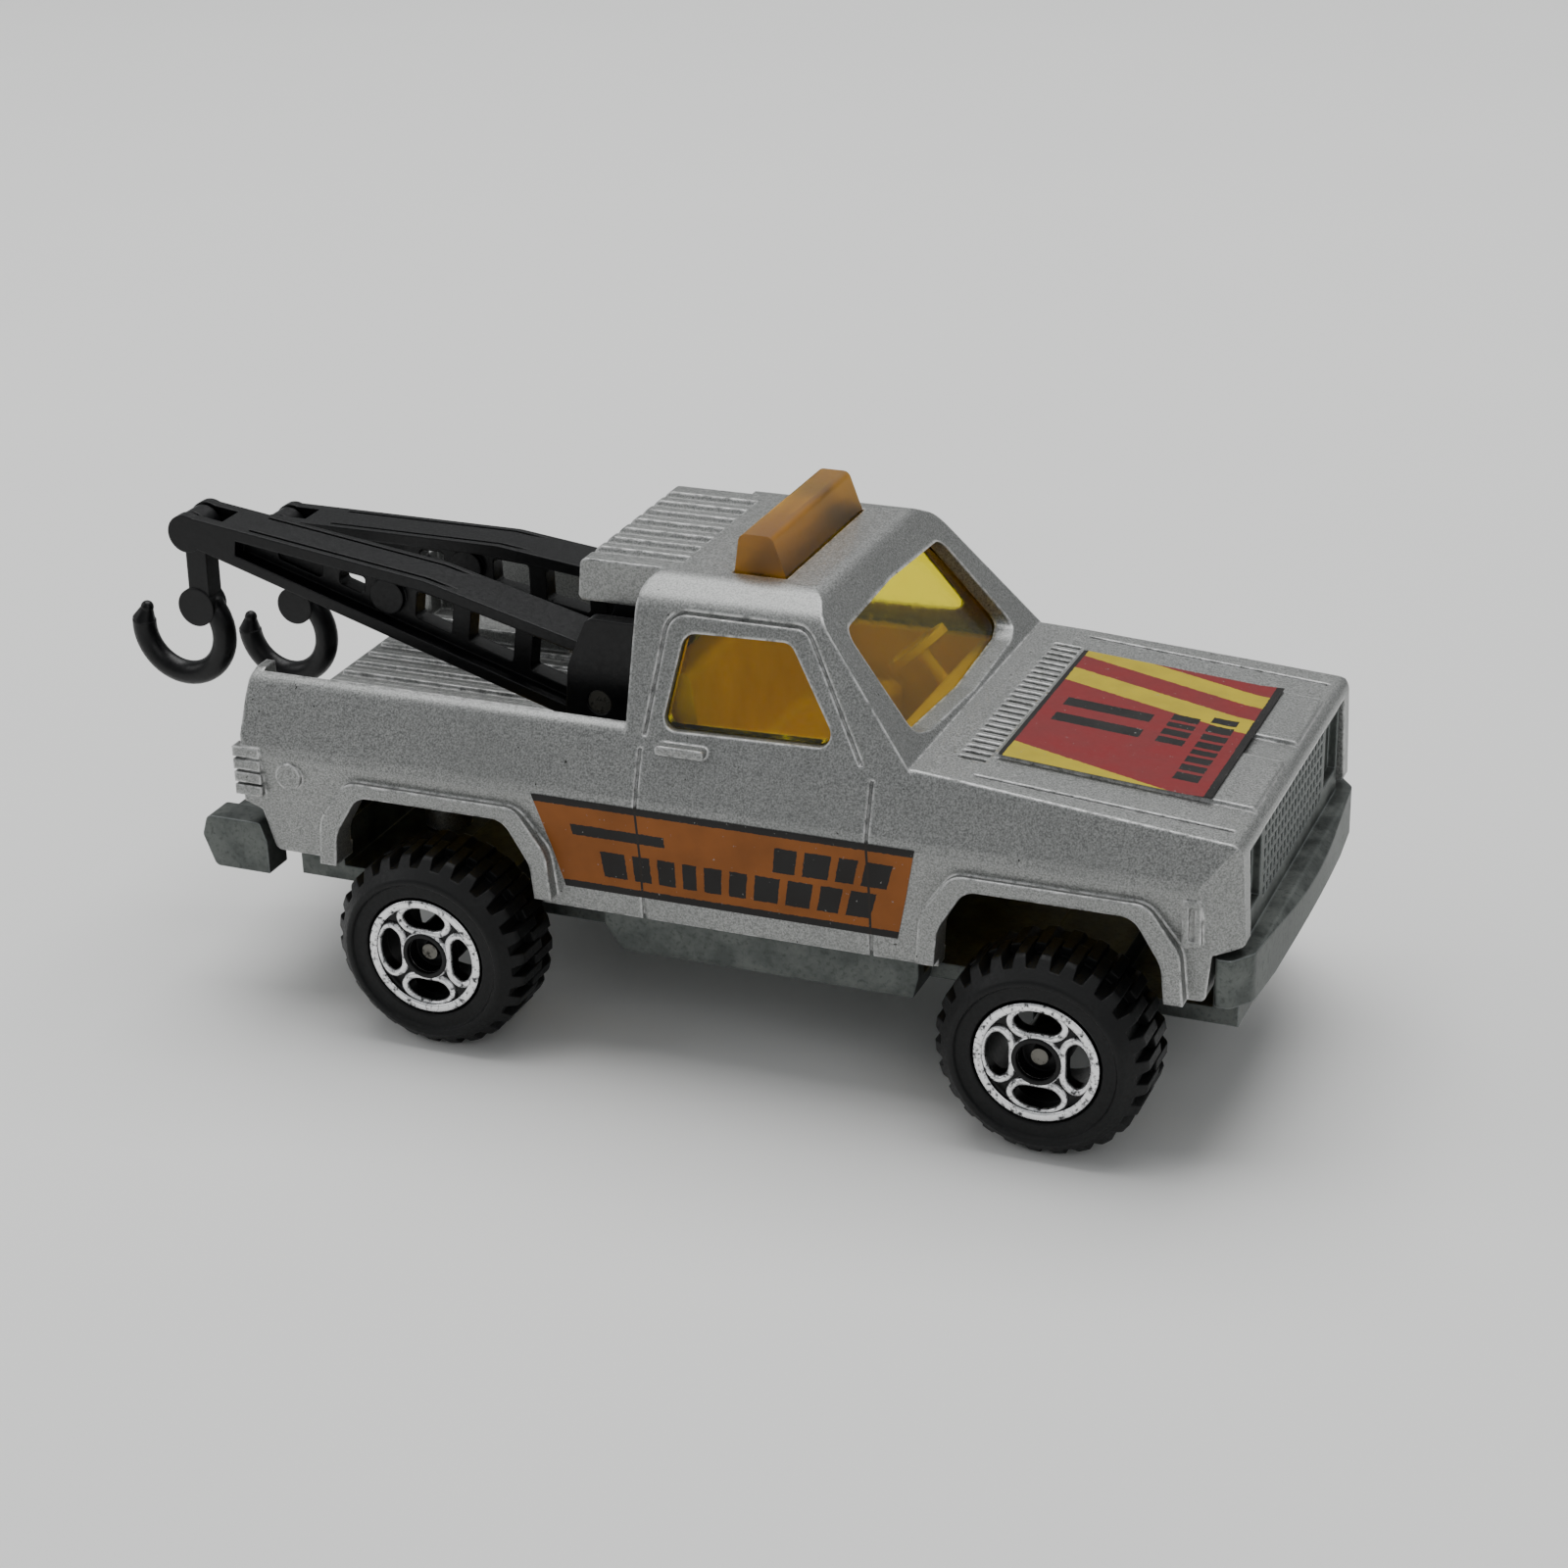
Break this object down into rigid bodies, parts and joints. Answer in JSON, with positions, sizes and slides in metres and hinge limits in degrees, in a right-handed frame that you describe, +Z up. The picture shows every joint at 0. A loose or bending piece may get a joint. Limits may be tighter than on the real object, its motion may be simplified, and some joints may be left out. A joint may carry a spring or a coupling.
{
  "type": "toy tow truck",
  "caption": "Die-cast toy tow truck: silver pickup with amber glazing and beacon, two black lattice booms with swinging hooks, and chunky off-road wheels.",
  "frame": {"origin": "on the ground, under the middle of the truck's overall length and width", "axes": "+X towards the bonnet, +Y towards the truck's left side, +Z up"},
  "size_m": [0.0898, 0.038, 0.038],
  "materials": {
    "silver_paint": "metallic satin",
    "bare_casting": "dull, mottled",
    "amber_clear": "clear, glossy",
    "yellow_plastic": "satin",
    "black_plastic": "satin",
    "wheel_plastic": "satin, with foil-printed edges",
    "tyre_plastic": "matt",
    "steel": "satin",
    "foil_print": "hot-stamped foil, worn",
    "door_film": "printed film, satin",
    "bonnet_film": "printed film, satin"
  },
  "bodies": {
    "truck": {"body_shell": "silver_paint", "chassis_base": "bare_casting", "amber_glazing": "amber_clear", "cab_interior": "yellow_plastic", "chassis_rivets": "steel", "boom_post": "black_plastic", "boom_pivot_pin": "steel"},
    "front_wheels": {"front_axle": "steel", "front_right_rim": "wheel_plastic", "front_right_tyre": "tyre_plastic", "front_left_rim": "wheel_plastic", "front_left_tyre": "tyre_plastic"},
    "rear_wheels": {"rear_axle": "steel", "rear_right_rim": "wheel_plastic", "rear_right_tyre": "tyre_plastic", "rear_left_rim": "wheel_plastic", "rear_left_tyre": "tyre_plastic"},
    "right_boom": {"right_boom": "black_plastic"},
    "left_boom": {"left_boom": "black_plastic"},
    "right_hook": {"right_hook": "black_plastic"},
    "left_hook": {"left_hook": "black_plastic"}
  },
  "joints": [
    {"name": "front_axle_spin", "type": "hinge", "parent": "truck", "child": "front_wheels", "pos_m": [0.03072, 0, 0.0075], "axis": [0, 1, 0], "continuous": true},
    {"name": "rear_axle_spin", "type": "hinge", "parent": "truck", "child": "rear_wheels", "pos_m": [-0.01508, 0, 0.0075], "axis": [0, 1, 0], "continuous": true},
    {"name": "right_boom_lift", "type": "hinge", "parent": "truck", "child": "right_boom", "pos_m": [-0.00438, -0.0065, 0.0252], "axis": [0, 1, 0], "range_deg": [-10.8, 27.2]},
    {"name": "left_boom_lift", "type": "hinge", "parent": "truck", "child": "left_boom", "pos_m": [-0.00438, 0.0065, 0.0252], "axis": [0, 1, 0], "range_deg": [-3, 35]},
    {"name": "right_hook_swing", "type": "hinge", "parent": "right_boom", "child": "right_hook", "pos_m": [-0.03818, -0.0065, 0.03341], "axis": [0, 1, 0], "range_deg": [-25, 30]},
    {"name": "left_hook_swing", "type": "hinge", "parent": "left_boom", "child": "left_hook", "pos_m": [-0.03898, 0.0065, 0.02875], "axis": [0, 1, 0], "range_deg": [-14, 41]}
  ]
}
